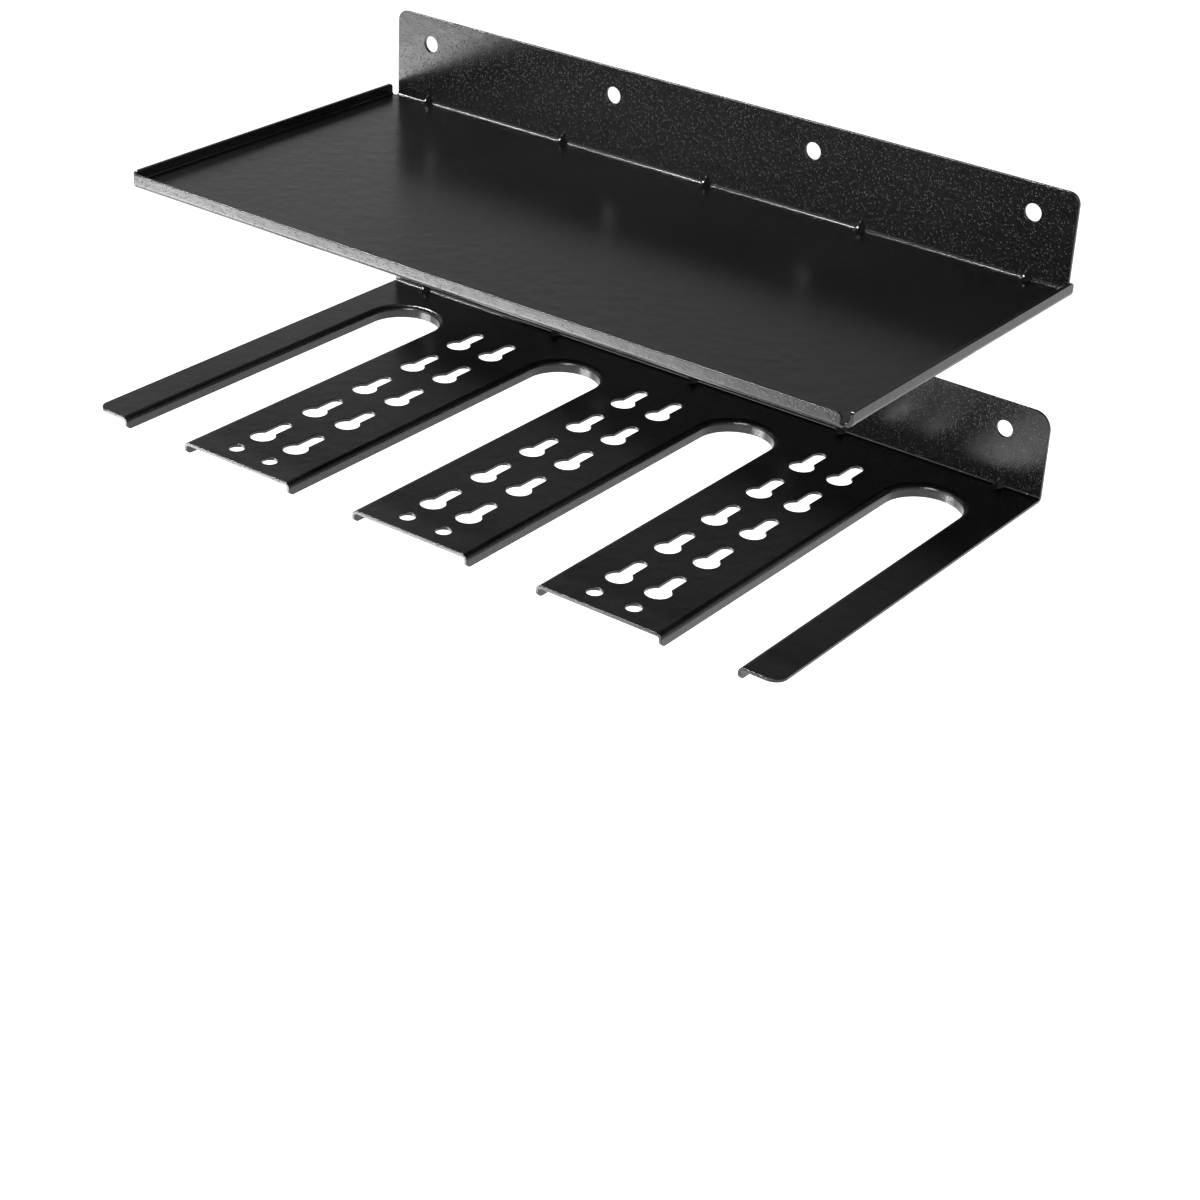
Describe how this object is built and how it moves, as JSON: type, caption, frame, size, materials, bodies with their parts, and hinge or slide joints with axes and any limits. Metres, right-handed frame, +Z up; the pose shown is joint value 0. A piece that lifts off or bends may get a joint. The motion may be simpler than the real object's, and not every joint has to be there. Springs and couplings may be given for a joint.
{
  "type": "wall mounted power tool organizer",
  "caption": "Folded steel wall brackets: a shallow tray shelf above a rack whose open slots hold power tools by their grips, with keyholes between the slots.",
  "frame": {"origin": "middle of the upper shelf's row of wall holes, on the wall", "axes": "+X along the wall, +Y into the wall, +Z up; the room is on the -Y side"},
  "size_m": [0.43, 0.238, 0.1672],
  "materials": {
    "powder_coat": "black satin powder coat with a fine sandy grain"
  },
  "bodies": {
    "root": {"upper_shelf": "powder_coat", "lower_rack": "powder_coat"}
  },
  "joints": []
}
